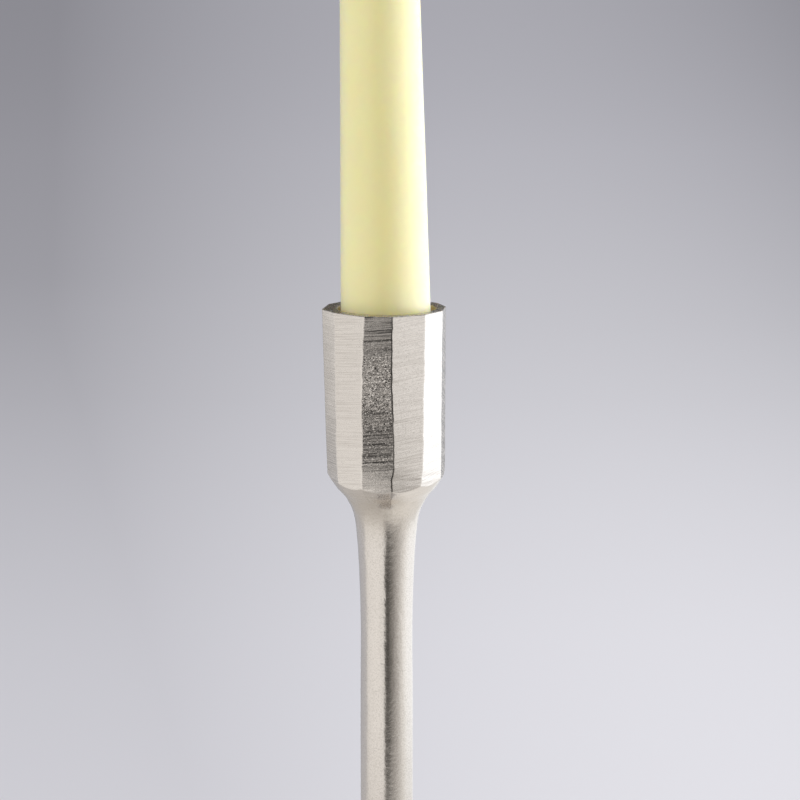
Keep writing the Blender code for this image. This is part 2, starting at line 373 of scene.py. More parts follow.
def lay_grinding_lines(piece, step, slants, flat_rows=()):
    """A UV map in millimetres: u along the grinding lines, v across them.

    On flat_rows the lines run straight across the object, in one direction for all sides.
    """
    n_cols = step * len(slants)
    layer = piece.data.uv_layers.new(name="grind")
    co = np.empty(len(piece.data.vertices) * 3)
    piece.data.vertices.foreach_get("co", co)
    co = co.reshape(-1, 3) / MM
    uv = np.zeros((len(piece.data.loops), 2))
    for polygon in piece.data.polygons:
        index = list(polygon.vertices)
        if len(index) != 4:
            continue
        row = index[0] // n_cols
        if row in flat_rows:
            for loop, vertex in zip(polygon.loop_indices, index):
                x, y, _ = co[vertex]
                across = FLAT_COSINE * y - FLAT_SINE * x
                uv[loop] = (FLAT_COSINE * x + FLAT_SINE * y + FLAT_START, across)
            continue
        column = min(i % n_cols for i in index)
        if max(i % n_cols for i in index) - column > 1:
            column = n_cols - 1
        side = column // step
        slant = math.tan(math.radians(slants[side]))
        origin = co[min(i // n_cols for i in index) * n_cols + side * step]
        for loop, vertex in zip(polygon.loop_indices, index):
            place = co[vertex]
            along = math.hypot(place[0] - origin[0], place[1] - origin[1])
            uv[loop] = (along + SIDE_APART * side, -place[2] - slant * along)
    layer.data.foreach_set("uv", uv.ravel())


# ---------------------------------------------------------------- materials


class Look:
    """A material whose nodes are made by short calls."""

    def __init__(self, name):
        self.material = bpy.data.materials.new(name)
        self.material.use_nodes = True
        self.tree = self.material.node_tree
        self.shader = self.tree.nodes["Principled BSDF"]

    def node(self, kind, inputs=(), **settings):
        made = self.tree.nodes.new(kind)
        for key, value in settings.items():
            setattr(made, key, value)
        for key, value in dict(inputs).items():
            self.put(made.inputs[key], value)
        return made

    def put(self, socket, value):
        if isinstance(value, bpy.types.NodeSocket):
            self.tree.links.new(value, socket)
        else:
            socket.default_value = value

    def set(self, **values):
        """Puts values into the shader, whose inputs have spaces for underscores."""
        for key, value in values.items():
            self.put(self.shader.inputs[key.replace("_", " ")], value)

    def show(self, node):
        """Lets a node's shader stand for the material."""
        output = self.tree.nodes["Material Output"]
        self.tree.links.new(node.outputs[0], output.inputs["Surface"])

    def object_place(self):
        return self.node("ShaderNodeTexCoord").outputs["Object"]

    def uv(self, name):
        return self.node("ShaderNodeUVMap", uv_map=name).outputs["UV"]

    def value_of(self, name):
        return self.node("ShaderNodeAttribute", attribute_name=name).outputs["Fac"]

    def stretched(self, vector, scale, turn=(0, 0, 0)):
        inputs = {"Vector": vector, "Scale": scale, "Rotation": turn}
        return self.node("ShaderNodeMapping", inputs).outputs[0]

    def noise(self, vector, scale, detail, roughness, distortion=0.0):
        inputs = {"Vector": vector, "Scale": scale, "Detail": detail, "Roughness": roughness}
        inputs["Distortion"] = distortion
        return self.node("ShaderNodeTexNoise", inputs).outputs["Fac"]

    def specks(self, vector):
        """A random level for each of many little cells."""
        cells = self.node("ShaderNodeTexVoronoi", {"Vector": vector, "Scale": 1.0})
        return self.node("ShaderNodeSeparateColor", {"Color": cells.outputs["Color"]}).outputs["Red"]

    def ranged(self, value, low, high, to_low=0.0, to_high=1.0):
        inputs = {"Value": value, "From Min": low, "From Max": high, "To Min": to_low, "To Max": to_high}
        return self.node("ShaderNodeMapRange", inputs).outputs[0]

    def maths(self, operation, a, b=0.0):
        return self.node("ShaderNodeMath", {0: a, 1: b}, operation=operation).outputs[0]

    def blend(self, factor, a, b):
        """Between two numbers."""
        return self.node("ShaderNodeMix", {0: factor, 2: a, 3: b}, data_type="FLOAT").outputs[0]

    def tint(self, factor, a, b):
        """Between two colours."""
        a, b = ((*color, 1) if isinstance(color, tuple) else color for color in (a, b))
        return self.node("ShaderNodeMix", {0: factor, 6: a, 7: b}, data_type="RGBA").outputs[2]

    def bump(self, height, depth, normal=None):
        inputs = {"Height": height, "Distance": depth, "Strength": 1.0}
        if normal is not None:
            inputs["Normal"] = normal
        return self.node("ShaderNodeBump", inputs).outputs[0]

    def ramp(self, position, levels):
        """Colours by direction: (degrees from -180 to 180, strength, colour)."""
        made = self.node("ShaderNodeValToRGB", {0: position})
        stops = made.color_ramp.elements
        while len(stops) < len(levels):
            stops.new(0.5)
        for stop, (degrees, strength, color) in zip(stops, levels):
            stop.position = (degrees + 180) / 360
            stop.color = (*(strength * channel for channel in color), 1)
        return made.outputs["Color"]

    def product(self, first, *others):
        for value in others:
            first = self.maths("MULTIPLY", first, value)
        return first

    def sum(self, *weighted):
        """Adds up (weight, value) pairs."""
        total = 0.0
        for weight, value in weighted:
            total = self.maths("ADD", self.maths("MULTIPLY", value, weight), total)
        return total


# Nickel: how many marks there are to a millimetre, along and across the grinding lines
FINE_LINES = (0.06, 4.3, 1)
BROAD_LINES = (0.07, 0.8, 1)
SCORES = (0.04, 1.9, 1)
GRAINS = (3.6, 4.6, 1)
SALT = (3.4, 4.4, 1)
PEPPER = (3.6, 4.7, 1)
GLITTER = (3.7, 5.0, 1)
# How many marks there are to a metre of its cast skin
SAND, GRIT, PITS, SWELL, KNOBS, CLOUDS = 1150, 2700, 420, 110, 1500, 60
# Its colours, and how deep its relief is
NICKEL_DEEP = (0.80, 0.752, 0.705)
NICKEL_PALE = (0.86, 0.812, 0.762)
NICKEL_LINES = (0.68, 0.635, 0.59)
NICKEL_GRIT = (0.66, 0.615, 0.565)
# Colour of the dark grinding marks, and of the painted shade line along one corner
NICKEL_MARKS_AND_SHADE_LINE = (0.10, 0.093, 0.088)
# Brown-gold of stains, which inside the socket is painted reflection of the yellow candle and painted
# shade
NICKEL_STAIN_AND_PAINTED_REFLECTION = (0.45, 0.36, 0.17)
NICKEL_RELIEF = 0.035
# Normal map colours of an even place, and of a grain that leans so that it shines
EVEN_NORMAL = (0.5, 0.5, 1.0)
LEANING_NORMAL = (0.29, 0.5, 0.95)

# Colours of the other materials, from dark to light, and (colour, roughness) of the steels
WAX = ((0.93, 0.845, 0.41), (0.95, 0.87, 0.46))
COTTON = ((0.74, 0.69, 0.50), (0.92, 0.89, 0.76))
FELT = ((0.022, 0.022, 0.025), (0.05, 0.05, 0.056))
IRON_AND_RUST = ((0.06, 0.058, 0.056), (0.13, 0.075, 0.045))
STEELS = {
    "stud_steel": ((0.62, 0.61, 0.57), 0.3),
    "nut_steel": ((0.66, 0.64, 0.58), 0.28),
    "washer_steel": ((0.66, 0.65, 0.62), 0.32),
    "spring_steel": ((0.34, 0.34, 0.35), 0.36),
}


class GroundMarksAndShadeLine:
    """What grinding left on the sides, plus a painted shade line on one corner: levels made by nodes."""

    def __init__(self, look):
        lines_uv = look.uv("grind")
        grain, scored = look.value_of("grain"), look.value_of("scored")
        self.ground, self.edge = look.value_of("ground"), look.value_of("edge")
        on_side = look.maths("SUBTRACT", 1.0, self.edge)

        self.fine = look.noise(look.stretched(lines_uv, FINE_LINES), 1, 3, 0.7)
        self.broad = look.noise(look.stretched(lines_uv, BROAD_LINES), 1, 2, 0.5)

        grains = look.noise(look.stretched(lines_uv, GRAINS), 1, 1, 0.6)
        raised = look.product(grains, look.ranged(grain, 0.25, 1, 0.1, 2.4), on_side)
        salt = look.maths("POWER", look.specks(look.stretched(lines_uv, SALT)), 3.0)
        self.salt = look.product(salt, grain)
        pepper = look.specks(look.stretched(lines_uv, PEPPER, (0, 0, 0.3)))
        pepper = look.product(look.ranged(pepper, 0.42, 0.92), look.ranged(grain, 0.3, 0.9))
        glitter = look.specks(look.stretched(lines_uv, GLITTER, (0, 0, -0.1)))
        glitter = look.product(look.ranged(glitter, 0.8, 0.94), look.ranged(grain, 0.45, 0.95))
        self.glitter = look.product(glitter, on_side, self.ground)

        scores = look.noise(look.stretched(lines_uv, SCORES), 1, 4, 0.8)
        hairlines = look.ranged(self.fine, 0.53, 0.40, 0, 0.85)
        scores = look.maths("MAXIMUM", look.ranged(scores, 0.54, 0.43), hairlines)
        scores = look.product(scores, scored)

        down = look.node("ShaderNodeSeparateXYZ", {"Vector": lines_uv}).outputs["Y"]
        chatter = look.maths("SINE", look.sum((3.4, down), (2.5, self.broad)))
        chatter = look.product(look.ranged(chatter, -1, 1), scored)
        lines = look.sum((1.0, look.ranged(self.fine, 0.52, 0.36)), (0.5, chatter))
        self.lines = look.product(lines, self.ground)

        not_glitter = look.maths("SUBTRACT", 1.0, self.glitter)
        dark = look.product(look.maths("MAXIMUM", pepper, scores), on_side, not_glitter)
        # The dark line along one corner is painted shade
        dark = look.maths("MAXIMUM", dark, look.value_of("painted_shade_line"))
        self.dark = look.product(dark, self.ground)

        self.height = look.sum((0.55, self.fine), (0.3, self.broad), (1.0, raised), (-0.8, scores))


def nickel(name, satin):
    """Warm nickel: ground sides with fine grinding lines, a sand-cast skin elsewhere.

    satin is the least roughness of the cast skin.
    """
    look = Look(name)
    marks, place = GroundMarksAndShadeLine(look), look.object_place()
    ground, stain_and_painted_reflection = marks.ground, look.value_of("stain_and_painted_reflection")

    sand = look.noise(place, SAND, 2, 0.5)
    grit = look.noise(place, GRIT, 2, 0.6)
    pits = look.noise(place, PITS, 2, 0.5)
    swell = look.noise(place, SWELL, 1, 0.5)
    knobs = look.ranged(look.specks(look.stretched(place, (KNOBS, KNOBS, KNOBS))), 0.985, 0.99)
    cast_height = look.sum((0.9, sand), (0.3, grit), (1.0, pits), (0.9, swell), (2.0, knobs))
    cast_rough = look.blend(stain_and_painted_reflection, look.sum((0.10, pits), (1, satin)), 0.42)

    lined = look.ranged(marks.fine, 0.35, 0.7)
    ground_rough = look.sum((0.10, marks.broad), (0.16, lined), (0.95, marks.salt), (1, 0.04))
    ground_rough = look.blend(marks.glitter, ground_rough, 0.18)
    ground_rough = look.blend(marks.edge, ground_rough, 0.1)

    color = look.tint(look.noise(place, CLOUDS, 3, 0.6), NICKEL_DEEP, NICKEL_PALE)
    color = look.tint(marks.lines, color, NICKEL_LINES)
    cast_grain = look.product(look.ranged(grit, 0.55, 0.35), look.ranged(ground, 0, 1, 0.5, 0))
    color = look.tint(cast_grain, color, NICKEL_GRIT)
    # Dark grinding marks, and the painted shade line along one corner
    color = look.tint(marks.dark, color, NICKEL_MARKS_AND_SHADE_LINE)
    # Stain, which inside the socket is painted reflection of the candle and painted shade
    color = look.tint(stain_and_painted_reflection, color, NICKEL_STAIN_AND_PAINTED_REFLECTION)

    leaning = look.tint(marks.glitter, EVEN_NORMAL, LEANING_NORMAL)
    facets = look.node("ShaderNodeNormalMap", {"Color": leaning}, uv_map="grind").outputs[0]
    height = look.blend(ground, cast_height, marks.height)
    look.set(
        Base_Color=color,
        Metallic=look.blend(stain_and_painted_reflection, 1.0, 0.6),
        Roughness=look.blend(ground, cast_rough, ground_rough),
        Normal=look.bump(height, NICKEL_RELIEF * MM, facets),
    )
    return look.material


def wax():
    look = Look("wax")
    place = look.object_place()
    cloud = look.noise(look.stretched(place, (40, 40, 9)), 1, 3, 0.5)
    ripple = look.noise(look.stretched(place, (220, 220, 60)), 1, 2, 0.5)
    look.set(
        Base_Color=look.tint(cloud, *WAX),
        Roughness=look.ranged(cloud, 0.3, 0.7, 0.32, 0.42),
        IOR=1.6,
        Normal=look.bump(ripple, 0.05 * MM),
        Subsurface_Weight=0.9,
        Subsurface_Radius=(1.0, 0.8, 0.3),
        Subsurface_Scale=7.5 * MM,
        Sheen_Weight=0.5,
        Sheen_Roughness=0.45,
    )
    return look.material


def cotton():
    look = Look("cotton")
    fibre = look.noise(look.stretched(look.object_place(), (3000, 3000, 500)), 1, 3, 0.6)
    look.set(Base_Color=look.tint(fibre, *COTTON), Roughness=0.8, Normal=look.bump(fibre, 0.08 * MM))
    return look.material


def felt():
    look = Look("felt")
    place = look.object_place()
    fibres = look.noise(look.stretched(place, (1500, 1500, 1500)), 1, 5, 0.7, 1.5)
    clumps = look.noise(place, 160, 3, 0.6)
    look.set(
        Base_Color=look.tint(clumps, *FELT),
        Roughness=0.95,
        Sheen_Weight=0.4,
        Normal=look.bump(look.sum((0.7, fibres), (0.6, clumps)), 0.25 * MM),
    )
    return look.material


def cast_iron():
    look = Look("cast_iron")
    place = look.object_place()
    skin = look.noise(place, 700, 4, 0.65)
    rust = look.noise(place, 90, 4, 0.6)
    look.set(
        Base_Color=look.tint(look.ranged(rust, 0.52, 0.72), *IRON_AND_RUST),
        Metallic=0.6,
        Roughness=look.ranged(skin, 0.3, 0.7, 0.55, 0.8),
        Normal=look.bump(skin, 0.15 * MM),
    )
    return look.material


def plated_steel(name):
    color, roughness = STEELS[name]
    look = Look(name)
    place = look.object_place()
    marks = look.noise(look.stretched(place, (900, 900, 5000)), 1, 3, 0.6)
    darker = tuple(0.8 * channel for channel in color)
    look.set(
        Base_Color=look.tint(look.noise(place, 260, 3, 0.6), darker, color),
        Metallic=1.0,
        Roughness=look.ranged(marks, 0.25, 0.75, roughness - 0.06, roughness + 0.1),
        Normal=look.bump(marks, 0.02 * MM),
    )
    return look.material


# ---------------------------------------------------------------- pieces


def dress(piece, sharp, material, slot, body, *nodes):
    """Shades a piece, gives it its material, and lets it stand for CAD nodes. Its slot is not used."""
    outward(piece, sharp)
    piece.data.materials.append(material)
    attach(piece, body)
    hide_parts(*nodes)


def cup_sides():
    radius, share = curve_through(SIDE_RADIUS), curve_through(SIDE_SHARE)

    def corner_radius(out):
        return lambda depth: radius(depth) + out * share(depth)

    return Sides(
        [curve_through(list(zip(CORNER_DEPTHS, degrees))) for degrees, _ in CORNERS],
        [corner_radius(out) for _, out in CORNERS],
        waver=0.22,
        brushed=lambda depth: 0.55 * (1 - ease(depth, 43, 51)),
    )


def cup_casting():
    """The casting under the cup's ground sides, not quite round where it narrows."""
    profile = curve_through(CASTING)
    drop = curve_through(list(enumerate((*CASTING_DROPS, CASTING_DROPS[0]))))

    def radius(depth, place, turn):
        fading = 1 - ease(depth, 41, 49)
        lumps = 0.09 * rough(depth / 2.2, turn * 5, 8) + 0.03 * rough(depth / 0.8, turn * 14, 9)
        lumps *= ease(depth, 36, 40) * (1 - 0.75 * ease(depth, 46, 56))
        return float(profile(depth - float(drop(place)) * fading)) + lumps

    return radius


def nick_rim(rows, depths):
    """Breaks the outer edge of the rim unevenly, as a file leaves it."""
    deepest, reach, cup_radius = 0.24, 0.6, 14
    for row, depth in zip(rows, depths):
        for point in row if depth < reach else ():
            turn = cup_radius * math.atan2(point[1], point[0])
            nick = max(0.0, rough(turn / 0.9, 1.0, 17) + 0.5 * rough(turn / 0.35, 2.0, 17)) * deepest
            point[:2] *= 1 - nick * (1 - depth / reach) / cup_radius


def make_cup_and_stem():
    """Cup, flare and stem: bored socket, flat ground rim, twelve ground sides, round stem."""
    sides, casting = cup_sides(), cup_casting()
    bottom, top = ends("socket_stem")
    runs = ((0.14, 0.4), (0.35, 38.4), (0.14, 45), (0.3, 60), (1.0, 80), (3.0, top - bottom - 0.35))
    depths = spaced(0.12, *runs)
    rows, ground = [], []
    for depth in depths:
        row, on = sides.row(depth, top - depth, casting)
        rows.append(row)
        ground.append(on)
    nick_rim(rows, depths)
    outer = rows[0]
    around = unit_directions(outer)
    rim = []
    for part in (1.0, 0.75, 0.5, 0.25, 0.04):
        row = ring(around, (SOCKET_RADIUS + SOCKET_CHAMFER) * part, top)
        row[:, :2] += (1 - part) * outer[:, :2]
        rim.append(row)
    wall = [(SOCKET_RADIUS, depth) for depth in spaced(SOCKET_CHAMFER, (2, SOCKET_DEPTH - 1))[::-1]]
    inside = [ring(around, radius, top - depth) for radius, depth in (*SOCKET_FLOOR, *wall)]
    end = [ring(around, radius, bottom + up) for radius, up in STEM_END]
    piece = tube("cup_and_stem", inside + rim + rows + end, caps=(True, True))

    def give_levels(name, on_rim, levels, on_inside=0, on_end=0):
        give(piece, name, filled(inside, on_inside) + filled(rim, on_rim) + levels + filled(end, on_end))

    give_levels("ground", 1, ground)
    stain_and_painted_reflection = [np.full(len(outer), level_at(depth, OUTSIDE_BROWN_LEVELS)) for depth in depths[:-1]]
    # Brown-gold tint; inside the socket it is painted reflection of the candle and painted shade
    give_levels("stain_and_painted_reflection", 0.3, stain_and_painted_reflection + filled(rows[-1:], 0.6), 1, 0.6)
    give_levels("edge", 0, [corner_mask(SIDE_STEPS)] * len(rows))
    give_levels("grain", 0.6, [side_mask(SIDE_GRAIN, depth, SIDE_STEPS) for depth in depths])
    give_levels("scored", 0.7, [side_mask(SIDE_SCORES, depth, SIDE_STEPS) for depth in depths])
    # A painted shade line along one corner
    give_levels("painted_shade_line", 0, [painted_shade_line_mask(depth) for depth in depths])
    lay_grinding_lines(piece, len(SIDE_STEPS), SIDE_SLANTS, range(len(inside), len(inside + rim)))
    dress(piece, 55, nickel("nickel_cup", 0.11), "nickel_casting", "holder", "socket_stem")


def make_foot():
    """Foot casting: flared neck, broad skirt, twelve ground sides, hollow underside."""
    shape = curve_through([(radius, height) for height, radius in FOOT_CASTING])
    side_radius = curve_through(FOOT_SIDE_RADIUS)
    sides = Sides(
        [(lambda level, at=degrees[0]: at) for degrees, _ in CORNERS],
        [lambda level: side_radius(-level)] * len(CORNERS),
        waver=0.35,
        columns=FOOT_STEPS,
        seed=31.0,
    )
    radii = spaced(6.4, (0.05, 6.6), (0.15, 9), (0.5, 20), (1.1, 44), (0.35, 50), (0.12, 53.6))
    levels = [(float(shape(radius)), radius) for radius in radii]
    levels += [(-below, 58.0) for below in spaced(-levels[-1][0], (0.45, -2.6))[1:]]
    levels[0] = (FOOT_TOP, 6.4)
    rows, ground = [], []
    for height, casting_radius in levels:
        row, on = sides.row(-height, height, lambda *_: casting_radius)
        rows.append(row)
        ground.append(on)
    around = unit_directions(rows[0])
    neck = [ring(around, radius, height) for radius, height in FOOT_NECK]
    low = rows[-1].copy()
    low[:, :2] *= FOOT_EDGE_SHARE
    low[:, 2] = FOOT_LEVEL
    under = [ring(around, radius, height) for radius, height in FOOT_HOLLOW]
    piece = tube("foot_casting", neck + rows + [low] + under, closed=True)

    def give_levels(name, levels, elsewhere=0):
        give(piece, name, filled(neck, elsewhere) + levels + filled(under, elsewhere))

    # Its sides are ground like the cup's sides 10 mm below the rim, in the opposite order
    give_levels("ground", ground + filled([low], 1))
    give_levels("stain_and_painted_reflection", filled(rows[:1], 0.6) + filled(rows, 0), 0.6)
    give_levels("edge", [corner_mask(FOOT_STEPS)] * (len(rows) + 1))
    give_levels("grain", [side_mask(SIDE_GRAIN[::-1], 10, FOOT_STEPS)] * (len(rows) + 1))
    give_levels("scored", [side_mask(SIDE_SCORES[::-1], 10, FOOT_STEPS)] * (len(rows) + 1))
    slants = [0.4 * slant for slant in SIDE_SLANTS[::-1]]
    lay_grinding_lines(piece, len(FOOT_STEPS), slants, range(len(neck) - 1))
    dress(piece, 55, nickel("nickel_foot", 0.22), "nickel_foot", "holder", "foot")


def candle_place(points):
    """From the candle's own frame, in millimetres, to its leaning place in the cup."""
    points = np.asarray(points, float)
    lean = np.array(Matrix.Rotation(-CANDLE_LEAN, 3, "Y"))
    return points @ lean.T + np.array(CANDLE_SEAT) / MM


def candle_radius(height):
    """The long taper, and the dipped tip."""
    in_socket = SOCKET_DEPTH - BUTT_GAP
    if height < in_socket:
        return BUTT_RADIUS + (MOUTH_RADIUS - BUTT_RADIUS) * height / in_socket
    lost = curve_through(TIP_LOSS)
    return MOUTH_RADIUS - TAPER * (height - in_socket) - float(lost(CANDLE_LENGTH - height))


def make_candle():
    """A closed section: round the butt, up the outside, and down the wick's hole."""
    tip = CANDLE_LENGTH
    outline = [(1.3, 0.35), (1.7, 0), (4, 0), (8, 0), (10.5, 0), (10.8, 0.06), (11.0, 0.28)]
    heights = spaced(0.7, (2.2, tip - 16), (0.8, tip - 3), (0.35, tip - 0.4))
    outline += [(candle_radius(height), height) for height in heights]
    outline += [(1.85, tip), (1.55, tip + 0.25), (1.3, tip + 0.6)]
    outline += [(1.12, tip + 1.0), (1.0, tip + 0.9), (1.0, tip + 0.3)]
    outline += [(1.15, height) for height in (250, 190, 120, 60, 2)]
    around = even_turn(96)
    rows = []
    for radius, height in outline:
        row = ring(around, radius, height)
        for point in row if radius > 2 else ():
            x, y, z = point
            dip = 0.035 * rough(x / 7, y / 7, z / 16) + 0.012 * rough(x / 2, y / 2, z / 3.5)
            point[:2] *= 1 + dip / max(radius, 4)
        rows.append(candle_place(row))
    piece = tube("candle_wax", rows, closed=True)
    dress(piece, 50, wax(), "wax", "candle", "candle")


def strand(name, path, radius, sides=8):
    """A cord round a path in the candle's own frame, both ends drawn together."""
    path = np.asarray(path, float)
    along = np.gradient(path, axis=0)
    along /= np.linalg.norm(along, axis=1)[:, None]
    across = np.cross(along, (0.3, 0.9, 0.1))
    across /= np.linalg.norm(across, axis=1)[:, None]
    up = np.cross(along, across)
    rows = []
    for k, point in enumerate(path):
        thin = 0.45 if k in (0, len(path) - 1) else 1
        turn = even_turn(sides) * radius * thin
        rows.append(candle_place(point + turn[:, :1] * across[k] + turn[:, 1:] * up[k]))
    return tube(name, rows, caps=(True, True))


def join(name, pieces):
    """One object out of several, without operators."""
    shape = bmesh.new()
    for piece in pieces:
        shape.from_mesh(piece.data)
    whole = bpy.data.meshes.new(name)
    shape.to_mesh(whole)
    shape.free()
    for piece in pieces:
        old = piece.data
        bpy.data.objects.remove(piece, do_unlink=True)
        bpy.data.meshes.remove(old)
    return link(bpy.data.objects.new(name, whole))


def make_wick():
    """Flat braid of three cotton strands, a little bent where it stands out of the candle."""
    top = CANDLE_LENGTH + 9.2
    heights = spaced(0.4, (1.2, CANDLE_LENGTH - 4), (0.3, top))
    parts = []
    for k in range(3):
        path = []
        for height in heights:
            turn = 2 * math.pi * (height / 6.2 + k / 3)
            bend = 1.5 * ease(height, CANDLE_LENGTH, CANDLE_LENGTH + 14) ** 1.5
            path.append((0.5 * math.sin(turn) + bend, 0.27 * math.sin(2 * turn) - 0.3 * bend, height))
        parts.append(strand("strand", path, 0.44))
    for k in range(14):
        turn = 2.4 * k
        start = np.array((0.35 * math.cos(turn) + 0.62, 0.3 * math.sin(turn) - 0.15, top - 0.5))
        lean = np.array((math.cos(turn), math.sin(turn), 1.6 + 0.5 * math.sin(5 * turn)))
        path = [start + part * (0.55 + 0.25 * math.sin(3 * turn)) * lean for part in (0, 0.5, 1)]
        parts.append(strand("fibre", path, 0.05, 5))
    piece = join("wick_braid", parts)
    dress(piece, 60, cotton(), "wick_cotton", "candle", "wick")


def thread_radius(turn, height, crest, root):
    """Radius of an M6 thread at a direction and a height."""
    phase = (height / THREAD_PITCH - turn / (2 * math.pi)) % 1
    slope = np.clip(np.abs(phase - 0.5) * 2.6 - 0.2, 0, 1)
    return root + (crest - root) * slope


def make_stud():
    low, high = ends("stud")
    around = even_turn(36)
    turn = np.arctan2(around[:, 1], around[:, 0])
    rows = []
    for height in np.linspace(low, high, round((high - low) / 0.11)):
        radius = thread_radius(turn, height, *STUD_THREAD)
        rows.append(ring(around, np.minimum(radius, 2.3 + min(height - low, high - height)), height))
    piece = tube("threaded_stud", rows, caps=(True, True))
    dress(piece, 60, plated_steel("stud_steel"), "stud_steel", "holder", "stud")


def make_nut():
    low, high = ends("nut")
    around = even_turn(72)
    turn = np.arctan2(around[:, 1], around[:, 0])
    to_middle = (turn + math.pi / 6) % (math.pi / 3) - math.pi / 6
    hexagon = NUT_HALF_WIDTH / np.cos(to_middle)
    rows = []
    for up in (0, 0.12, 0.3, 0.5, 0.7, 2.5):
        rows.append(ring(around, np.minimum(hexagon, 4.85 + 1.6 * up), low + up))
    rows += [np.column_stack([row[:, :2], low + high - row[:, 2]]) for row in rows[-2::-1]]
    for height in np.linspace(high, low, 46):
        bore = thread_radius(turn, height, *NUT_THREAD)
        rows.append(ring(around, np.maximum(bore, 3.35 - min(high - height, height - low)), height))
    piece = tube("hexagon_nut", rows, closed=True)
    dress(piece, 40, plated_steel("nut_steel"), "nut_steel", "holder", "nut")


def turned(name, outline, columns=96):
    """A ring of (radius, height) section."""
    rows = [ring(even_turn(columns), radius, height) for radius, height in outline]
    return tube(name, rows, closed=True)


def broken_edges(inner, outer, low, high, by):
    """A rectangular section with its edges broken."""
    return (
        (inner, low + by),
        (inner + by, low),
        (outer - by, low),
        (outer, low + by),
        (outer, high - by),
        (outer - by, high),
        (inner + by, high),
        (inner, high - by),
    )


def make_washers():
    low, high = ends("washer")
    piece = turned("flat_washer", broken_edges(STUD_HOLE_RADIUS, 6, low, high, 0.12))
    dress(piece, 30, plated_steel("washer_steel"), "washer_steel", "holder", "washer")

    low, high = ends("spring_washer")
    opening, rise = math.radians(12), 0.25
    rows = []
    for part in np.linspace(0, 1, 72):
        turn = opening / 2 + part * (2 * math.pi - opening)
        bottom = low + part * rise
        section = broken_edges(STUD_HOLE_RADIUS, 5.9, bottom, bottom + high - low - rise, 0.1)
        rows.append([(r * math.cos(turn), r * math.sin(turn), z) for r, z in section])
    piece = tube("split_washer", rows, caps=(True, True))
    dress(piece, 30, plated_steel("spring_steel"), "spring_steel", "holder", "spring_washer")


def make_ballast():
    low, high = ends("ballast")
    hole, bore = STUD_HOLE_RADIUS, BALLAST_HOLE
    outline = [(hole, high - 0.3), (hole + 0.3, high), (12, high), (28, high), (44.8, high)]
    outline += [(45.5, high - 0.15), (45.88, high - 0.6), (45.8, high - 4)]
    outline += [(45.75, low + 4), (45.88, low + 0.6), (45.5, low + 0.15)]
    outline += [(44.8, low), (28, low), (bore + 0.3, low), (bore, low + 0.3)]
    outline += [(bore, low + 9.2), (bore - 0.3, low + 9.5), (hole + 0.3, low + 9.5), (hole, low + 9.8)]
    piece = turned("ballast_disc", outline, 144)
    dress(piece, 40, cast_iron(), "ballast_iron", "holder", "ballast")


def make_felt():
    low, high = ends("felt_pad")
    radius, around = FELT_RADIUS, even_turn(240)
    section = [(radius - 0.6, low), (radius - 0.15, low + 0.15), (radius, low + 0.6)]
    section += [(radius, high - 0.6), (radius - 0.15, high - 0.15), (radius - 0.6, high)]
    flat = [49, 44, 36, 28, 20, 12, 6, 2, 0.5]
    outline = [(r, low) for r in flat[::-1]] + section + [(r, high) for r in flat]
    rows = []
    for r, z in outline:
        row = ring(around, r, z)
        for point in row if r > 49 else ():
            x, y, height = point
            point[:2] *= 1 - (0.12 + 0.12 * rough(x / 0.9, y / 0.9, height / 0.7)) / radius
        rows.append(row)
    piece = tube("felt_disc", rows, caps=(True, True))
    dress(piece, 60, felt(), "felt", "holder", "felt_pad")


# ---------------------------------------------------------------- surroundings, lights, camera


# Colours that come back in the reflected surroundings
WARM = (1.0, 0.98, 0.955)
NIGHT = (1.0, 0.96, 0.92)
BROWN = (1.0, 0.96, 0.90)
UMBER = (1.0, 0.95, 0.89)
COOL = (0.97, 1.0, 1.04)
SHADE = (0.97, 0.98, 1.05)
# The upper and the lower surroundings by direction: degrees (0 behind the camera, growing to
# the right as the camera sees it), strength, and colour
UPPER_SURROUNDINGS = (
    (-180, 0.10, NIGHT),
    (-160, 0.34, (0.99, 0.99, 1.0)),
    (-125, 0.60, (1.0, 0.985, 0.97)),
    (-117, 1.10, (1.0, 0.985, 0.97)),
    (-109, 0.76, WARM),
    (-84, 0.83, WARM),
    (-46, 0.96, WARM),
    (-28, 0.86, WARM),
    (-21, 0.40, WARM),
    (-15, 0.10, (1.0, 0.97, 0.93)),
    (-6, 0.02, BROWN),
    (14, 0.02, BROWN),
    (27, 0.10, BROWN),
    (36, 0.50, (1.0, 0.975, 0.95)),
    (42.5, 0.93, (1.0, 0.99, 0.98)),
    (75, 0.93, (1.0, 0.99, 0.98)),
    (90, 1.15, (0.96, 1.0, 1.05)),
    (98, 1.6, COOL),
    (135, 1.5, COOL),
    (148, 0.92, (0.97, 1.0, 1.06)),
    (165, 0.52, (0.97, 0.99, 1.06)),
    (180, 0.10, NIGHT),
)
LOWER_SURROUNDINGS = (
    (-180, 0.42, SHADE),
    (-125, 0.53, (0.98, 0.98, 1.03)),
    (-101, 0.57, (0.99, 0.98, 1.0)),
    (-94, 0.80, WARM),
    (-79, 0.86, WARM),
    (-42, 0.90, WARM),
    (-15, 0.88, WARM),
    (-10, 0.62, WARM),
    (-6.3, 0.12, UMBER),
    (2, 0.06, UMBER),
    (10, 0.11, UMBER),
    (25, 0.24, UMBER),
    (40, 0.40, NIGHT),
    (55, 0.62, (1.0, 0.98, 0.95)),
    (70, 0.84, (1.0, 0.985, 0.96)),
    (88, 1.05, (0.99, 1.0, 1.0)),
    (105, 1.12, (0.98, 1.0, 1.02)),
    (160, 1.1, (0.98, 1.0, 1.02)),
    (170, 0.8, COOL),
    (180, 0.42, SHADE),
)
# Section of the wrap: a ring of table round the foot, and the standing panels
WRAP_PROFILE = ((57, 1), (200, 1), (430, 1), (450, 30), (450, 300), (450, 900))
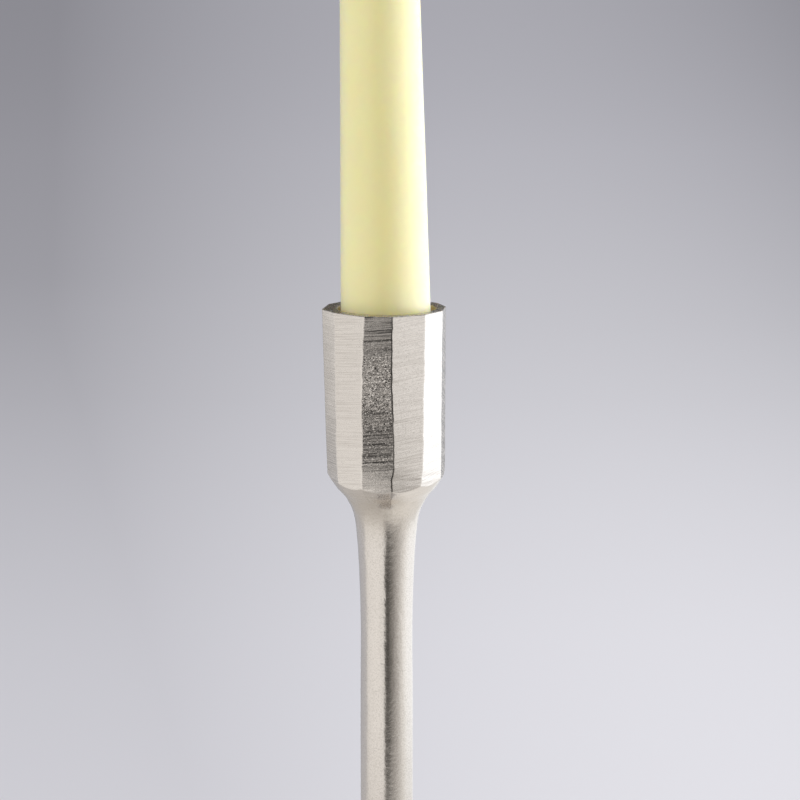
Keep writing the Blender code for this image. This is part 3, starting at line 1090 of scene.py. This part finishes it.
# Colours of its table at the left and at the right, and of the dim lower right
TABLE_LEFT = (0.55, 0.525, 0.50)
TABLE_RIGHT = (0.86, 0.84, 0.81)
LOW_RIGHT = (0.3, 0.29, 0.27)

# Floor: radius in metres, and its colours in the middle and at the sides: near, further
# back, and far away. Its darker sides and its changes with distance are painted shade
# and painted light.
FLOOR_RADIUS = 60
FLOOR_NEAR = ((0.90, 0.887, 0.903), (0.57, 0.56, 0.582))
FLOOR_BACK = ((0.85, 0.838, 0.853), (0.54, 0.53, 0.55))
FLOOR_FAR = ((0.905, 0.89, 0.915), (0.59, 0.577, 0.60))

# Light of the world, the stronger of two gradients by the height of a direction:
# (height, strength at the horizon, strength from that height on)
WORLD_COLOR = (0.96, 0.97, 1.04, 1)
WORLD_GRADIENTS = ((1.0, 0.1, 0.62), (0.3, 0.28, 0.1))
# Soft panels: name, place, target, size in metres, watts, colour, and whether it lights
# only the object
LIGHTS = (
    ("overhead", (0.25, 0.3, 2.6), (0.25, 0.3, 0), (0.9, 0.9), 31, (0.98, 0.985, 1.0), False),
    ("right", (0.85, 0.09, 0.42), (0, 0, 0.38), (0.6, 0.8), 11.4, (0.95, 0.98, 1.38), True),
    ("left", (-1.0, -0.6, 0.7), (0, 0, 0.34), (0.8, 0.8), 7.6, (0.985, 0.97, 1.04), True),
)

# Camera: place in metres, degrees that it looks down, and lens and sensor in millimetres
CAMERA_PLACE = (0.00325, -0.8404, RIM + 0.1271)
CAMERA_DIP = 10.096
LENS = 159.375
SENSOR = 36


def make_reflected_wrap():
    """A wrap of soft panels round the object, seen only in its reflections."""
    wrap = tube("wrap", [ring(even_turn(96), radius, height) for radius, height in WRAP_PROFILE])
    look = Look("wrap_glow")
    place = look.object_place()
    x, y, z = look.node("ShaderNodeSeparateXYZ", {0: place}).outputs
    frontward = look.maths("MULTIPLY", y, -1.0)
    around = look.ranged(look.maths("ARCTAN2", x, frontward), -math.pi, math.pi)
    upper_shift = look.ranged(z, 0.182, 0.225, 0.0195, -0.0056)
    upper = look.ramp(look.maths("ADD", around, upper_shift), UPPER_SURROUNDINGS)
    lower_shift = look.ranged(z, 0.095, 0.14, -0.008, 0.005)
    lower = look.ramp(look.maths("ADD", around, lower_shift), LOWER_SURROUNDINGS)
    color = look.tint(look.ranged(z, 0.145, 0.175), lower, upper)
    glow = look.product(look.ranged(frontward, 0.25, 0.42), look.ranged(z, 0.25, 0.36, 0.0, 0.45))
    color = look.node("ShaderNodeVectorMath", {0: color, 1: glow}, operation="ADD").outputs[0]
    low_right = look.product(look.ranged(x, 0.0, 0.25), look.ranged(z, 0.10, 0.03), 0.3)
    color = look.tint(low_right, color, LOW_RIGHT)
    table = look.tint(look.ranged(x, -0.06, 0.13), TABLE_LEFT, TABLE_RIGHT)
    flat = look.stretched(place, (1, 1, 0))
    radius = look.node("ShaderNodeVectorMath", {0: flat}, operation="LENGTH").outputs["Value"]
    out, up = look.ranged(radius, 0.12, 0.43, 0.0, 0.45), look.ranged(z, 0.0, 0.09, 0.0, 0.55)
    color = look.tint(look.maths("ADD", out, up), table, color)
    strength = look.ranged(z, 0.30, 0.44, 1.0, 0.35)
    emission = look.node("ShaderNodeEmission", {"Color": color, "Strength": strength})
    look.tree.nodes.remove(look.shader)
    look.show(emission)
    wrap.data.materials.append(look.material)
    wrap.visible_camera = wrap.visible_diffuse = wrap.visible_shadow = False
    wrap.visible_transmission = wrap.visible_volume_scatter = False


def make_floor():
    """A matt floor with painted shade to its sides and painted light changing with distance, which can't
    be seen from below.
    """
    mesh = bpy.data.meshes.new("floor")
    shape = bmesh.new()
    bmesh.ops.create_circle(shape, cap_ends=True, radius=FLOOR_RADIUS, segments=96)
    shape.to_mesh(mesh)
    shape.free()
    floor = link(bpy.data.objects.new("floor", mesh))
    look = Look("floor_paper")
    x, y, _ = look.node("ShaderNodeSeparateXYZ", {0: look.object_place()}).outputs
    # Painted shade towards the sides, and painted light that changes with distance
    aside = look.maths("SUBTRACT", x, look.ranged(y, 0.6, 2.0, 0.18, 0.115))
    aside = look.maths("DIVIDE", aside, look.maths("MAXIMUM", look.maths("ADD", y, 2.2), 2.0))
    shade = look.ranged(look.product(aside, aside), 0.0, 0.0088)
    shade = look.product(shade, look.ranged(y, 0.4, 2.2, 0.42, 1.0))
    near, back, far = (look.tint(shade, *colors) for colors in (FLOOR_NEAR, FLOOR_BACK, FLOOR_FAR))
    color = look.tint(look.ranged(y, 0.9, 1.6), near, back)
    color = look.tint(look.ranged(y, 1.9, 3.2), color, far)
    look.set(Base_Color=color, Roughness=0.9, Specular_IOR_Level=0.1)
    see_through = look.node("ShaderNodeBsdfTransparent").outputs[0]
    below = look.node("ShaderNodeNewGeometry").outputs["Backfacing"]
    paper = look.shader.outputs[0]
    look.show(look.node("ShaderNodeMixShader", {0: below, 1: paper, 2: see_through}))
    floor.data.materials.append(look.material)


def make_world():
    world = bpy.data.worlds.new("studio")
    world.use_nodes = True
    tree = world.node_tree
    direction = tree.nodes.new("ShaderNodeTexCoord").outputs["Generated"]
    split = tree.nodes.new("ShaderNodeSeparateXYZ")
    tree.links.new(direction, split.inputs[0])
    strength = tree.nodes.new("ShaderNodeMath")
    strength.operation = "MAXIMUM"
    for k, (high, at_horizon, at_high) in enumerate(WORLD_GRADIENTS):
        rise = tree.nodes.new("ShaderNodeMapRange")
        settings = {"From Min": 0, "From Max": high, "To Min": at_horizon, "To Max": at_high}
        for socket, value in settings.items():
            rise.inputs[socket].default_value = value
        tree.links.new(split.outputs["Z"], rise.inputs["Value"])
        tree.links.new(rise.outputs[0], strength.inputs[k])
    background = tree.nodes["Background"]
    background.inputs["Color"].default_value = WORLD_COLOR
    tree.links.new(strength.outputs[0], background.inputs["Strength"])
    bpy.context.scene.world = world


def make_lights():
    """Soft panels, unseen in reflections. Some shine on the object alone."""
    lit = bpy.data.collections.new("lit_by_side_panels")
    for piece in bpy.context.scene.objects:
        if piece.type == "MESH" and piece.name not in ("floor", "wrap"):
            lit.objects.link(piece)
    for name, place, target, size, power, color, object_only in LIGHTS:
        data = bpy.data.lights.new(name, "AREA")
        data.shape = "RECTANGLE"
        data.size, data.size_y = size
        data.energy = power
        data.color = color
        light = link(bpy.data.objects.new(name, data))
        light.location = place
        light.rotation_euler = (Vector(target) - Vector(place)).to_track_quat("-Z", "Y").to_euler()
        light.visible_camera = light.visible_glossy = False
        if object_only:
            light.light_linking.receiver_collection = lit


def make_camera():
    data = bpy.data.cameras.new("camera")
    data.sensor_width = SENSOR
    data.lens = LENS
    camera = link(bpy.data.objects.new("camera", data))
    camera.location = CAMERA_PLACE
    camera.rotation_euler = (math.radians(90 - CAMERA_DIP), 0, 0)
    bpy.context.scene.camera = camera


make_cup_and_stem()
make_foot()
make_candle()
make_wick()
make_stud()
make_nut()
make_washers()
make_ballast()
make_felt()
make_camera()
bpy.context.scene.view_settings.view_transform = "Standard"
make_world()
make_floor()
make_reflected_wrap()
make_lights()


def corners(box):
    return [list(map(float, corner)) for corner in box]
